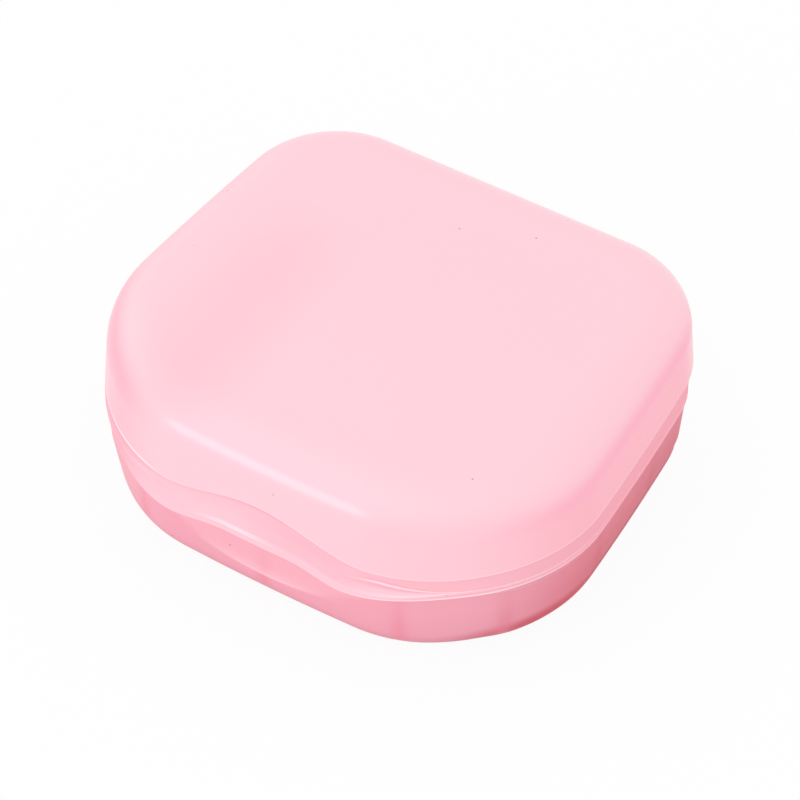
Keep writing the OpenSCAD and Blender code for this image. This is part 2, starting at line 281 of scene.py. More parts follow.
def softened(profile, steps=4, most=0.45):
    # rounds the corners of a profile, each given as offset, height, radius and painted light;
    # a rounding takes at most that share of the sides it meets
    row = []
    for i, (offset, height, radius, paintedLight) in enumerate(profile):
        here = Vector((offset, height))
        if radius == 0:
            row.append((offset, 1.0, height, paintedLight))
            continue
        before = Vector(profile[i - 1][:2]) - here
        after = Vector(profile[i + 1][:2]) - here
        start = here + before.normalized() * min(radius, before.length * most)
        end = here + after.normalized() * min(radius, after.length * most)
        for k in range(steps + 1):
            share = k / steps
            place = start.lerp(here, share).lerp(here.lerp(end, share), share)
            row.append((place.x, 1.0, place.y, paintedLight))
    return row


def roundedEdge(offset, height, width, rise, angles):
    # quarter of an ellipse from an upright wall to a level top, or to a level floor for a negative rise
    return [(offset - width * (1 - math.cos(a)), 1.0, height - rise * (1 - math.sin(a)), 0.0) for a in angles]


def arcAngles(count):
    return [quarter * i / count for i in range(count + 1)]


def vertsOf(grown):
    return [part for part in grown if isinstance(part, bmesh.types.BMVert)]


def loft(columns, firstPole, lastPole, leftShade=1.0, leftFrom=0.44):
    # draws the first ring and extrudes it ring by ring along the columns, then closes both ends;
    # a column's points each have an offset, a scale, a height and a painted light (shade if negative)
    # painted shade of the left side, which sets in from the turn leftFrom
    leftSide = [ramp(spot.turned, leftFrom, fades["leftRun"]) * leftShade for spot in spots]
    bm = bmesh.new()
    # layers for painted highlights and shade of the lines, the rib marks, and painted shade of the sides and
    # foot
    paintedLightLayer = bm.verts.layers.float.new("paintedLight")
    ribLayer = bm.verts.layers.float.new("ribShade")
    sideLayer = bm.verts.layers.float.new("sideShade")
    footLayer = bm.verts.layers.float.new("footShade")

    def settle(vert, index, station):
        offset, scale, height, paintedLight = station
        spot = spots[index]
        place = spot.at(offset, scale, height)
        vert.co = (place.x, place.y, height)
        vert[paintedLightLayer] = paintedLight
        vert[ribLayer] = spot.ribShade
        # painted side shade: the left side's share turns into the right side's
        vert[sideLayer] = mix(leftSide[index], spot.side, ramp(spot.right, *fades["rightHalf"]))
        vert[footLayer] = spot.footShade

    ring = [bm.verts.new() for _ in spots]
    for index, vert in enumerate(ring):
        settle(vert, index, columns[index][0])
    edges = [bm.edges.new((ring[i - 1], ring[i])) for i in range(len(ring))]
    firstRing = ring
    indexOf = {vert: index for index, vert in enumerate(ring)}
    for row in range(1, len(columns[0])):
        grown = bmesh.ops.extrude_edge_only(bm, edges=edges)["geom"]
        edges = [part for part in grown if isinstance(part, bmesh.types.BMEdge) and part.is_boundary]
        nextIndex = {}
        for vert in vertsOf(grown):
            for edge in vert.link_edges:
                other = edge.other_vert(vert)
                if other in indexOf:
                    nextIndex[vert] = indexOf[other]
        for vert, index in nextIndex.items():
            settle(vert, index, columns[index][row])
        indexOf = nextIndex
    bmesh.ops.pointmerge(bm, verts=firstRing, merge_co=(0, 0, firstPole))
    bmesh.ops.pointmerge(bm, verts=list(indexOf), merge_co=(0, 0, lastPole))
    bmesh.ops.recalc_face_normals(bm, faces=bm.faces)
    return bm


def makeObject(bm, name):
    mesh = bpy.data.meshes.new(name)
    bm.to_mesh(mesh)
    bm.free()
    made = bpy.data.objects.new(name, mesh)
    bpy.context.scene.collection.objects.link(made)
    return made


def cutAway(piece, cutterMesh):
    # takes the cutter's shape out of the piece and keeps nothing of the cutter
    cutter = makeObject(cutterMesh, "cutter")
    cut = piece.modifiers.new("cut", "BOOLEAN")
    cut.object = cutter
    cut.solver = "EXACT"
    bpy.context.view_layer.update()
    evaluated = piece.evaluated_get(bpy.context.evaluated_depsgraph_get())
    whole = piece.data
    piece.data = bpy.data.meshes.new_from_object(evaluated)
    piece.modifiers.clear()
    bpy.data.meshes.remove(whole)
    bpy.data.objects.remove(cutter)


creaseAngle = math.radians(38)      # edges that bend more stay sharp


def finishPiece(piece, body, material, replaced=()):
    piece.data.shade_smooth()
    piece.data.set_sharp_from_angle(angle=creaseAngle)
    piece.data.materials.clear()
    piece.data.materials.append(material)
    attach(piece, body)
    if replaced:
        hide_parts(*replaced)


# materials
class Wire:
    # an output of a shader node that takes part in Python sums by adding Math nodes
    def __init__(self, socket):
        self.socket, self.tree = socket, socket.id_data

    def join(self, operation, first, second=0.0):
        return addNode(self.tree, "ShaderNodeMath", {"operation": operation}, {0: first, 1: second})

    def __add__(self, other):
        return self.join("ADD", self, other)

    def __radd__(self, other):
        return self.join("ADD", other, self)

    def __sub__(self, other):
        return self.join("SUBTRACT", self, other)

    def __rsub__(self, other):
        return self.join("SUBTRACT", other, self)

    def __mul__(self, other):
        return self.join("MULTIPLY", self, other)

    def __rmul__(self, other):
        return self.join("MULTIPLY", other, self)

    def over(self, low, high):
        # smooth step from 0 at low to 1 at high
        settings = {"interpolation_type": "SMOOTHSTEP", "clamp": True}
        inputs = {"Value": self, "From Min": low, "From Max": high}
        return addNode(self.tree, "ShaderNodeMapRange", settings, inputs)

    def toward(self, colour, share):
        # this colour, turned by a share into another
        return blendColour(self.tree, share, self, colour)


def addNode(tree, kind, settings, inputs, output=0):
    # any shader node: its settings first, then the values or links of its sockets
    node = tree.nodes.new(kind)
    for name, value in settings.items():
        setattr(node, name, value)
    for name, value in inputs.items():
        if isinstance(value, Wire):
            tree.links.new(value.socket, node.inputs[name])
        else:
            node.inputs[name].default_value = value
    return Wire(node.outputs[output])


def blendColour(tree, share, first, second):
    settings = {"data_type": "RGBA", "clamp_factor": True}
    return addNode(tree, "ShaderNodeMix", settings, {0: share, 6: first, 7: second}, 2)


def readAttribute(tree, name):
    return addNode(tree, "ShaderNodeAttribute", {"attribute_name": name}, {}, 2)


frost = {
    "grain": 3200.0,        # frosting, in cycles per metre
    "grainDetail": 2.0,
    "grainDepth": 0.00002,
    "grainStrength": 0.25,
    "grainRough": 0.12,     # how far the frosting changes the roughness
    "mottle": 45.0,         # slow drift of the colour
    "mottleDetail": 3.0,
    "mottleShare": 0.12,
    "speck": 600.0,         # cells that may hold a dust speck
    "speckSize": 0.1,
    "speckPick": 0.985,     # share of the cells that hold none
    "speckShare": 0.6,
}


def frostNoise(tree, place, kind):
    inputs = {"Vector": place, "Scale": frost[kind], "Detail": frost[kind + "Detail"]}
    return addNode(tree, "ShaderNodeTexNoise", {}, inputs)


def dustSpecks(tree, place):
    cells = {"Vector": place, "Scale": frost["speck"]}
    distance = addNode(tree, "ShaderNodeTexVoronoi", {}, cells)
    middle = addNode(tree, "ShaderNodeTexVoronoi", {}, cells, 2)
    pick = addNode(tree, "ShaderNodeTexWhiteNoise", {}, {0: middle})
    inside = distance.join("LESS_THAN", distance, frost["speckSize"])
    return inside * pick.join("GREATER_THAN", pick, frost["speckPick"])


def frostedPlastic(name, look):
    material = bpy.data.materials.new(name)
    material.use_nodes = True
    tree = material.node_tree
    shader = tree.nodes["Principled BSDF"]
    place = addNode(tree, "ShaderNodeTexCoord", {}, {}, 3)
    parts = tree.nodes.new("ShaderNodeSeparateXYZ")
    tree.links.new(place.socket, parts.inputs[0])
    across, along, height = [Wire(output) for output in parts.outputs]
    paintedLight = readAttribute(tree, "paintedLight")
    sideShade = readAttribute(tree, "sideShade")
    mottle = frostNoise(tree, place, "mottle")
    grain = frostNoise(tree, place, "grain")
    # painted shade: deeper low down and paler high up, as light falls from above, with a slow random drift of
    # colour
    rise = height.over(*look["riseZ"])
    tint = blendColour(tree, rise + (mottle - 0.5) * frost["mottleShare"], look["deep"], look["pale"])
    if "shadeX" in look:        # a deeper place on the front edge of the crown, painted shade of the case's shaded inside seen through the lid
        aside = across.join("ABSOLUTE", across - look["shadeX"])
        shadow = aside.over(look["shadeWidth"], 0.0) * along.over(*look["shadeY"])
        tint = tint.toward(look["deep"], shadow * rise)
    # painted shade of the sides, deepest on the right, and deeper still low on the base
    side = look["side"]
    if "sideTop" in look:       # the painted side shade ends under the crown
        sideHeight = height + across * look["sideLean"]
        sideShade = sideShade * sideHeight.over(*look["sideTop"])
    if "sideLow" in look:
        side = blendColour(tree, height.over(*look["lowZ"]), side, look["sideLow"])
    tint = tint.toward(side, sideShade)
    if "ridge" in look:         # a deeper magenta band, painted shade, where the side bends into the crown
        low, middle, high = look["ridgeZ"]
        ridge = height.over(low, middle) * height.over(high, middle)
        ridge = ridge * sideShade * across.over(*look["ridgeX"]) * along.over(*look["ridgeY"])
        tint = tint.toward(look["ridge"], ridge * look["ridgeShare"])
    # painted shade at the foot, deepest and reaching highest on the right
    if "foot" in look:
        footShade = readAttribute(tree, "footShade")
        foot = blendColour(tree, footShade, look["foot"], look["footSide"])
        footHeight = height - footShade * look["footRise"] - sideShade * look["footRise"]
        tint = tint.toward(foot, footHeight.over(*look["footZ"]))
    if "rib" in look:           # the ribs show through the wall, most at the bottom; on the right the marks take the foot's painted shade
        fade = 1 - height.over(*look["ribZ"]) * look["ribFade"]
        ribTone = blendColour(tree, sideShade, look["rib"], look["footSide"])
        tint = tint.toward(ribTone, readAttribute(tree, "ribShade") * fade * look["ribShare"])
    # painted highlights of the lines toward the bright colour, painted shade toward the groove colour; then
    # dust specks
    tint = tint.toward(look["bright"], paintedLight)
    tint = tint.toward(look["groove"], 0 - paintedLight)
    tint = tint.toward(look["speck"], dustSpecks(tree, place) * frost["speckShare"])
    tree.links.new(tint.socket, shader.inputs["Base Color"])
    roughness = look["roughness"] + (grain - 0.5) * frost["grainRough"]
    if "bandRough" in look:
        roughness = roughness + height.over(*look["bandZ"]) * look["bandRough"]
    tree.links.new(roughness.socket, shader.inputs["Roughness"])
    frosting = {"Strength": frost["grainStrength"], "Distance": frost["grainDepth"], "Height": grain}
    bump = addNode(tree, "ShaderNodeBump", {}, frosting)
    tree.links.new(bump.socket, shader.inputs["Normal"])
    shader.inputs["IOR"].default_value = look["ior"]
    return material


# names that end in X, Y or Z are places: a middle, or where a tone starts and where it is full;
# the ridge runs from a low through a middle to a high place
# bright and groove take painted highlights and painted shade; side, sideLow, foot, footSide and ridge are
# painted shade
basePlastic = frostedPlastic("base_plastic", {
    "pale": (0.87, 0.37, 0.455, 1), "deep": (0.83, 0.35, 0.435, 1), "riseZ": (0.002, 0.012),
    "side": (0.72, 0.15, 0.215, 1), "sideLow": (0.66, 0.085, 0.145, 1), "lowZ": (0.013, 0.005),
    "foot": (0.73, 0.25, 0.335, 1), "footSide": (0.6, 0.04, 0.08, 1), "footZ": (0.005, 0.0018),
    "footRise": 0.001, "rib": (0.80, 0.24, 0.33, 1), "ribZ": (0.0048, 0.012), "ribFade": 0.7,
    "ribShare": 0.65, "bright": (1.0, 0.66, 0.72, 1), "groove": (0.8, 0.25, 0.33, 1),
    "speck": (0.35, 0.12, 0.16, 1), "roughness": 0.42, "ior": 1.33,
})
lidPlastic = frostedPlastic("lid_plastic", {
    "pale": (1.0, 0.616, 0.69, 1), "deep": (1.0, 0.565, 0.64, 1), "riseZ": (0.0268, 0.0308),
    "shadeX": -0.020, "shadeWidth": 0.013, "shadeY": (0.016, -0.004),
    "side": (1.0, 0.435, 0.52, 1), "sideTop": (0.0301, 0.0265), "sideLean": 0.035,
    "ridge": (1.0, 0.41, 0.57, 1), "ridgeShare": 0.75, "ridgeX": (0.0, 0.02), "ridgeY": (0.032, 0.02),
    "ridgeZ": (0.0230, 0.0266, 0.0296), "bright": (1.0, 0.78, 0.83, 1), "groove": (0.86, 0.35, 0.43, 1),
    "speck": (0.45, 0.16, 0.2, 1), "roughness": 0.22, "bandRough": 0.38, "bandZ": (0.0185, 0.0165),
    "ior": 1.45,
})
trayPlastic = frostedPlastic("tray_plastic", {
    "pale": (0.97, 0.70, 0.76, 1), "deep": (0.95, 0.62, 0.69, 1), "riseZ": (0.005, 0.01),
    "side": (0.95, 0.62, 0.69, 1), "bright": (1.0, 0.82, 0.86, 1), "groove": (0.9, 0.5, 0.58, 1),
    "speck": (0.45, 0.16, 0.2, 1), "roughness": 0.3, "ior": 1.49,
})


def wireSteel(name, look):
    material = bpy.data.materials.new(name)
    material.use_nodes = True
    tree = material.node_tree
    shader = tree.nodes["Principled BSDF"]
    place = addNode(tree, "ShaderNodeTexCoord", {}, {}, 3)
    drawn = addNode(tree, "ShaderNodeVectorMath", {"operation": "MULTIPLY"}, {0: place, 1: look["stretch"]})
    lines = addNode(tree, "ShaderNodeTexNoise", {}, {"Vector": drawn, "Scale": look["lines"], "Detail": 4.0})
    tint = blendColour(tree, lines, look["dark"], look["light"])
    tree.links.new(tint.socket, shader.inputs["Base Color"])
    roughness = look["roughness"] + (lines - 0.5) * look["spread"]
    tree.links.new(roughness.socket, shader.inputs["Roughness"])
    shader.inputs["Metallic"].default_value = 1.0
    return material


pinSteel = wireSteel("pin_steel", {
    "dark": (0.56, 0.57, 0.58, 1), "light": (0.8, 0.81, 0.82, 1), "roughness": 0.28, "spread": 0.2,
    "lines": 2500.0, "stretch": (0.04, 1, 1),       # drawing lines run along the wire
})
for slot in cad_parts["hinge_pin"].material_slots:
    slot.material = pinSteel


# lid shell; a tone says how bright a line's painted highlight is, negative where painted shade makes it
# deeper;
# a pair is start and run, if nothing else is said
tones = {
    "step": 0.45,               # painted highlight of the step line, and where it turns white on the left
    "stepX": (-0.018, -0.004),
    "stepDim": 0.18,            # dimmer over the arch
    "stepDimX": -0.006,
    "stepDimHalf": 0.018,
    "stepGroove": -0.6,
    "archGroove": -0.4,
    "groove": 0.28,             # painted shade in the groove under the step line: left, right and past the right corner
    "grooveRight": 0.42,
    "grooveSide": 0.36,
    "grooveX": (0.018, 0.008),
    "grooveLow": 0.3,
    "bandX": (-0.017, -0.006),
    "bandLeft": 1.5,
    "bandRun": (0.2, 0.25),
    "underArch": 0.5,
    "underArchRun": (0.7, 0.2),
    "sweep": 0.28,              # painted shade on the sweep of the lip
    "sweepX": 0.009,
    "sweepHalf": 0.017,
    "sweepIn": (0.0, 0.1),
    "sweepOut": (0.6, 0.3),
    "sweepLeast": 0.5,
    # painted shade on the rim's face, deepest in its middle, and painted highlight on the lip
    "rim": -0.12,
    "rimMiddle": -0.6,
    "lip": 0.6,
    "brim": (0.8, 0.1),         # painted highlight on the plain brim and the lip
    "skirt": (0.1, -0.55),      # painted highlight under the fold, painted shade near it
    "skirtRun": (0.45, 0.3),
    # the fold line: painted shade, turning to painted highlight on the left
    "fold": -0.15,
    "foldLeft": 0.4,
    "plainTurn": (0.2, 0.6),    # where the ledge over the fold gets lower
    "plainX": (-0.014, -0.007),
}
innerIn = lid["draft"] + lid["wall"]


def crownRows(offset, level, shares):
    return [(offset, k, level + lid["crown"] * (1 - k * k) ** 2, 0.0) for k in shares]


def lidColumn(spot):
    x, front, lip, face = spot.point.x, spot.front, spot.lip, spot.face
    # inside of the crown and of its rounded edge
    ceiling = topZ - lid["wall"]
    innerWidth = lid["roundWidth"] - lid["wall"]
    innerHeight = lid["roundHeight"] - lid["wall"]
    inside = crownRows(-innerIn - innerWidth, ceiling, lid["crownShares"])
    inside += reversed(roundedEdge(-innerIn, ceiling, innerWidth, innerHeight, arcAngles(lid["insideSteps"])))

    # places of the rim's face, the brim's edge, the fold, and the band between fold and step line
    backIn = lid["rimBackIn"] * spot.back
    sideRim = -lid["rimIn"] - backIn
    rimInner = sideRim - lid["rimWall"]
    rimOut = mix(sideRim, lid["lipOut"], lip) - lid["dip"] * spot.dip
    rimDrop = lid["skirtDrop"] * clip((rimOut - sideRim) / lid["skirtRun"])
    edgeZ = lid["rimZ"] + mix(lid["brimHeight"] - rimDrop, lid["faceHeight"], face)
    edgeOff = rimOut - mix(*lid["edgeIn"], lip)
    stepZ = lid["stepZ"] + lid["archHeight"] * spot.arch
    bandTop = stepZ - lid["stepDrop"]
    share = lid["foldShare"]

    def hollow(along):
        return lid["dish"] * lip * face * math.sin(math.pi * along)

    faceFoldOff = mix(edgeOff, -lid["stepIn"], share) - hollow(share)
    foldOff = mix(sideRim - lid["brimDraft"], faceFoldOff, face)
    brimFoldZ = lid["rimZ"] + lid["brimHeight"] + lid["brimRise"] * lip
    foldZ = mix(brimFoldZ, mix(edgeZ, bandTop, share), face)
    plainness = max(ramp(spot.turned, *tones["plainTurn"]), ramp(x, *tones["plainX"]))
    ledge = lid["stepIn"] * mix(1, lid["ledgeLeft"], plainness)
    bandOff = foldOff - ledge * (1 - face)
    bandZ = foldZ + lid["foldRise"]

    # painted highlights and painted shade of the lines
    fold = spot.foldShine
    rightGroove = mix(tones["groove"], tones["grooveRight"], ramp(x, *tones["grooveX"]))
    groove = -mix(rightGroove, tones["grooveSide"], spot.side * spot.right)
    leftBand = front * ramp(x, *tones["bandX"])
    leftStep = ramp(x, *tones["stepX"])
    stepDim = tones["stepDim"] * front * bell(x - tones["stepDimX"], tones["stepDimHalf"])
    sweep = tones["sweep"] * front * bell(x - tones["sweepX"], tones["sweepHalf"])
    edgeShine = mix(mix(tones["rim"], tones["lip"], spot.lipShine), mix(*tones["brim"], lip), fold)
    rimShade = tones["rimMiddle"] * fold * (1 - lip)
    bandShade = groove * mix(tones["grooveLow"], 1, spot.right) - sweep
    foldShine = mix(mix(tones["fold"], tones["foldLeft"], leftBand) - sweep, mix(1.0, 0.0, face), fold)

    def sweepShade(along):
        # painted shade: the right half of the lip's sweep is a little deeper in colour
        left = mix(1, tones["sweepLeast"], ramp(along, *tones["sweepOut"]))
        return sweep * ramp(along, *tones["sweepIn"]) * left

    def bandPoint(along):
        above = (along - share) / (1 - share)
        straight = mix(bandOff + hollow(share), -lid["stepIn"], above)
        faded = mix(mix(tones["grooveLow"], 1, above), 1, spot.right)
        faded = mix(faded, tones["bandLeft"] * ramp(above, *tones["bandRun"]), leftBand)
        underStep = tones["underArch"] * spot.arch * ramp(above, *tones["underArchRun"]) + sweepShade(along)
        return straight - hollow(along), mix(bandZ, bandTop, above), 0, groove * faded - underStep

    def skirtPoint(along):
        below = along / share
        straight = mix(edgeOff, foldOff + hollow(share), below)
        shine = mix(*tones["skirt"], ramp(below, *tones["skirtRun"]))
        shine = mix(tones["rim"], shine, fold) - sweepShade(along)
        return straight - hollow(along), mix(edgeZ, foldZ, below), 0, shine

    roundIn, roundOut = lid["mouthRound"]
    underStepRound, overStepRound = lid["stepRound"]
    rim = softened([
        (-innerIn, ceiling - innerHeight - lid["insideStart"], 0, 0),
        (-innerIn - backIn * 0.5, lid["stepZ"] + lid["insideRise"], lid["insideRound"], 0),
        (rimInner, lid["stepZ"] - lid["insideDrop"], lid["insideRound"], 0),
        (rimInner, lid["rimZ"], roundIn, 0),
        (rimOut, lid["rimZ"], roundOut, fold),
        (rimOut - lid["rimDraft"] / 3, mix(lid["rimZ"], edgeZ, 0.5), 0, rimShade),
        (rimOut - lid["rimDraft"], edgeZ - mix(*lid["edgeDrop"], lip), mix(*lid["edgeRound"], lip),
         tones["rim"] * (1 - fold)),
        (edgeOff, edgeZ, mix(*lid["brimRound"], lip), edgeShine),
        *[skirtPoint(share * k) for k in (0.25, 0.5, 0.75, 0.88)],
        (foldOff, foldZ, mix(*lid["foldRound"], face), foldShine),
        (bandOff, bandZ, mix(*lid["bandRound"], face), bandShade),
        *[bandPoint(mix(share, 1, k)) for k in (0.15, 0.3, 0.45, 0.6, 0.75, 0.9)],
        (-lid["stepIn"], bandTop, underStepRound, tones["stepGroove"] + tones["archGroove"] * spot.arch),
        (0, stepZ, overStepRound, mix(tones["step"], 1.0, leftStep) - stepDim),
        (-lid["stepDraft"] * 0.4, stepZ + lid["stepRise"] * 2 / 3, 0, front * leftStep),
        (-lid["stepDraft"], stepZ + lid["stepRise"], 0, 0),
    ])

    # plain wall, rounded top edge and crown
    wallFoot, wallTop = stepZ + lid["stepRise"], topZ - lid["roundHeight"]
    wall = []
    for k in (0.25, 0.5, 0.75):
        wall.append((mix(-lid["stepDraft"], -lid["draft"], k), 1.0, mix(wallFoot, wallTop, k), 0.0))
    steps = arcAngles(lid["outsideSteps"])
    outside = roundedEdge(-lid["draft"], topZ, lid["roundWidth"], lid["roundHeight"], steps)
    crown = crownRows(-lid["draft"] - lid["roundWidth"], topZ, reversed(lid["crownShares"]))
    return inside + rim + wall + outside + crown


lidColumns = [lidColumn(spot) for spot in spots]
lidMesh = loft(lidColumns, crownZ - lid["wall"], crownZ, leftShade=1.25, leftFrom=0.0)
lidShell = makeObject(lidMesh, "lidShell")
finishPiece(lidShell, "lid", lidPlastic, ["lid_shell"])
print("lid shell made")


# ribs that carry the tray; their marks show through the base. A place is a corner and a share of its arc,
# or a corner and a share of the stretch that follows it.
ribs = {
    "corners": [(0, 3 / 16), (0, 9 / 16), (1, 4 / 8), (2, 4 / 8), (3, 7 / 16), (3, 13 / 16)],
    "sides": [(0, 0.0), (0, 5 / 8), (2, 3 / 8), (2, 1.0), (3, 0.5)],
    "thickness": 0.0016,
    "markWidth": 0.0012,
    "reach": 0.005,
    "sink": 0.0003,         # how far the rib goes into the floor
    "shelfZ": 0.0054,
    "nose": 0.0011,
    "noseHeight": 0.0012,
    "topZ": 0.0115,
    "root": 0.0008,
    "edge": 0.0003,
}
ribSpots = [Spot(*cornerPoint(*place)) for place in ribs["corners"]]
ribSpots += [Spot(*sidePoint(*place)) for place in ribs["sides"]]
for spot in spots:
    nearest = min((spot.point - rib.point).length for rib in ribSpots)
    spot.ribShade = math.exp(-(nearest / ribs["markWidth"]) ** 2)

# base shell
# painted highlights on the base: the scoop's face, the shoulder's edge and the scoop's crease
scoopTones = {
    "face": 0.22,           # painted light: the scoop is a little brighter, from a short run over its crease
    "faceRun": 0.0006,
    "shoulder": 0.2,
    "crease": 0.8,
    "creaseHalf": 0.017,
    "creaseHeight": 0.0003,
}


def scoopAt(spot, height):
    slope = base["scoopDepth"] / (shoulderZ - base["scoopZ"])
    return spot.front * max(0.0, height - spot.scoopLow) * slope


def paintedScoopLight(spot, height):
    return scoopTones["face"] * spot.front * ramp(height, spot.scoopLow, scoopTones["faceRun"])


def baseColumn(spot):
    outer = -sideIn - base["backIn"] * spot.back - base["chinIn"] * spot.chin
    rimInner = -lid["rimIn"] - lid["rimWall"] - lid["rimBackIn"] * spot.back
    collarOut = rimInner - base["collarGap"]
    cavity = -sideIn - base["wall"] - base["cavityBackIn"] * spot.back
    wallEnd = shoulderZ - base["shoulderDrop"]

    def wallOff(height):
        leanIn = base["draft"] + base["sideDraft"] * ramp(spot.turned, *base["sideTurn"])
        return outer - scoopAt(spot, height) - leanIn * (shoulderZ - height) / shoulderZ

    # underside and rounded foot
    foot = base["footRadius"]
    footOff = wallOff(0)
    under = [(footOff - foot, k, 0.0, 0.0) for k in base["poleShares"]]
    curve = roundedEdge(footOff, 0.0, foot, -foot, reversed(arcAngles(base["footSteps"])))

    # wall up to the crease of the scoop, and from there to the shoulder
    creaseZ = min(spot.scoopLow, shoulderZ - base["scoopEnd"])
    levels = [mix(foot, creaseZ, k) for k in (0.33, 0.66, 1.0)]
    levels += [mix(creaseZ, wallEnd, k) for k in (0.02, 0.25, 0.5, 0.75, 1.0)]
    # painted highlight along the scoop's crease
    crease = scoopTones["crease"] * spot.front * bell(spot.point.x, scoopTones["creaseHalf"])
    wall = []
    for z in levels:
        paintedLight = crease * bell(z - spot.scoopLow, scoopTones["creaseHeight"]) + paintedScoopLight(spot, z)
        wall.append((wallOff(z), 1.0, z, paintedLight))

    # shoulder, collar, and the inside down to the floor
    innerTop = foot + base["innerRise"]
    innerOff = cavity - base["cavityDraft"]
    collarRound, mouthRound = base["collarRound"]
    # the shoulder's edge has a painted highlight
    edge = softened([
        (wallOff(wallEnd), wallEnd, 0, paintedScoopLight(spot, shoulderZ)),
        (wallOff(shoulderZ), shoulderZ, base["shoulderRound"], scoopTones["shoulder"]),
        (collarOut, shoulderZ, base["rootRound"], 0),
        (collarOut, collarZ, collarRound, 0),
        (cavity, collarZ, mouthRound, 0),
        (innerOff, innerTop, 0, 0),
    ])
    floorZ = base["floor"]
    inner = roundedEdge(innerOff, floorZ, foot - floorZ, floorZ - innerTop, arcAngles(base["innerSteps"])[1:])
    floor = [(cavity - foot, k, floorZ, 0.0) for k in reversed(base["poleShares"])]
    return under + curve + wall + edge + inner + floor


baseColumns = [baseColumn(spot) for spot in spots]
baseShell = makeObject(loft(baseColumns, 0.0, base["floor"], leftShade=0.2), "baseShell")

# hinge: three knuckles on the base and two on the lid, all on one pin
hinge = {
    "knuckle": 0.00195,
    "bore": 0.00104,
    "gap": 0.0003,
    "length": pinHigh.x - pinLow.x,
    "lidWidth": 0.008,
    "endWidth": 0.006,
    "web": 0.001,
    "edge": 0.00025,
    "edgeSteps": 3,
    "steps": 24,
    "boreSteps": 32,
    "recessSteps": 48,
}
pinCentre = Vector((0, (pinLow.y + pinHigh.y) / 2, (pinLow.z + pinHigh.z) / 2))
lidKnuckleX = hinge["length"] / 2 - hinge["endWidth"] - hinge["gap"] - hinge["lidWidth"] / 2
endKnuckleX = lidKnuckleX + (hinge["lidWidth"] + hinge["endWidth"]) / 2 + hinge["gap"]
midWidth = 2 * (lidKnuckleX - hinge["lidWidth"] / 2 - hinge["gap"])


def connectedEdges(start):
    # every edge that can be reached from a vertex
    reached, edges, waiting = {start}, set(), [start]
    while waiting:
        here = waiting.pop()
        for edge in here.link_edges:
            edges.add(edge)
            other = edge.other_vert(here)
            if other not in reached:
                reached.add(other)
                waiting.append(other)
    return edges


def addKnuckle(bm, x, width, firstAngle, turn, footing):
    # arc round the pin, then the footing's corners; bored, drawn out along x and softened
    left = x - width / 2
    centre = Vector((left, pinCentre.y, pinCentre.z))
    start = bm.verts.new(centre + Vector((0, math.cos(firstAngle), math.sin(firstAngle))) * hinge["knuckle"])
    swept = bmesh.ops.spin(bm, geom=[start], cent=centre, axis=(1, 0, 0), angle=turn, steps=hinge["steps"])
    end = vertsOf(swept["geom_last"])[0]
    chain = [end] + [bm.verts.new((left, y, z)) for y, z in footing] + [start]
    for pair in zip(chain, chain[1:]):
        bm.edges.new(pair)
    rims = connectedEdges(start)
    facing = Matrix.Translation(centre) @ Matrix.Rotation(quarter, 4, "Y")
    circle = bmesh.ops.create_circle(
        bm, cap_ends=False, radius=hinge["bore"], segments=hinge["boreSteps"], matrix=facing)
    bore = {edge for vert in circle["verts"] for edge in vert.link_edges}
    side = bmesh.ops.bridge_loops(bm, edges=list(rims | bore))["faces"]
    far = vertsOf(bmesh.ops.extrude_face_region(bm, geom=side)["geom"])
    bmesh.ops.translate(bm, verts=far, vec=(width, 0, 0))

    def isFarRim(edge):
        # an edge of the far side, away from the bore, that one face of the outside meets
        outer = all(vert in far and (vert.co - centre).yz.length > hinge["bore"] * 1.2 for vert in edge.verts)
        outside = [face for face in edge.link_faces if abs(face.normal.x) < 0.5]
        return outer and len(outside) == 1

    ends = [edge for edge in bm.edges if edge in rims or isFarRim(edge)]
    bmesh.ops.bevel(bm, geom=ends, offset=hinge["edge"], segments=hinge["edgeSteps"], profile=0.5,
                    affect="EDGES", material=-1)


lidBackY = halfDepth - lid["rimIn"] - lid["rimBackIn"]
webTop = lid["rimZ"] + lid["brimHeight"]
outerAngle = math.acos((lidBackY - pinCentre.y) / hinge["knuckle"])
innerAngle = math.acos((lidBackY - pinCentre.y - hinge["web"]) / hinge["knuckle"])
lidTurn = innerAngle - outerAngle - 4 * quarter
web = [(lidBackY - hinge["web"], webTop), (lidBackY, webTop)]
lidKnuckles = bmesh.new()
for side in (-1, 1):
    addKnuckle(lidKnuckles, side * lidKnuckleX, hinge["lidWidth"], outerAngle, lidTurn, web)
bmesh.ops.recalc_face_normals(lidKnuckles, faces=lidKnuckles.faces)
finishPiece(makeObject(lidKnuckles, "lidKnuckles"), "lid", lidPlastic)

gussetY = halfDepth - sideIn - base["backIn"] - base["wall"] / 2
gusset = [(gussetY, pinCentre.z - hinge["knuckle"]), (gussetY, pinCentre.z + hinge["knuckle"])]
baseKnuckles = bmesh.new()
for x, width in ((0, midWidth), (endKnuckleX, hinge["endWidth"]), (-endKnuckleX, hinge["endWidth"])):
    addKnuckle(baseKnuckles, x, width, quarter, -2 * quarter, gusset)
bmesh.ops.recalc_face_normals(baseKnuckles, faces=baseKnuckles.faces)
finishPiece(makeObject(baseKnuckles, "baseKnuckles"), "base", basePlastic)

# room for the lid's knuckles in the back wall
recess = bmesh.new()
room = hinge["knuckle"] + hinge["gap"]
for side in (-1, 1):
    middle = pinCentre + Vector((side * lidKnuckleX, 0, 0))
    lying = Matrix.Translation(middle) @ Matrix.Rotation(quarter, 4, "Y")
    bmesh.ops.create_cone(recess, cap_ends=True, segments=hinge["recessSteps"], radius1=room, radius2=room,
                          depth=hinge["lidWidth"] + 2 * hinge["gap"], matrix=lying)
cutAway(baseShell, recess)
finishPiece(baseShell, "base", basePlastic, ["base_shell"])
print("base shell and hinge made")


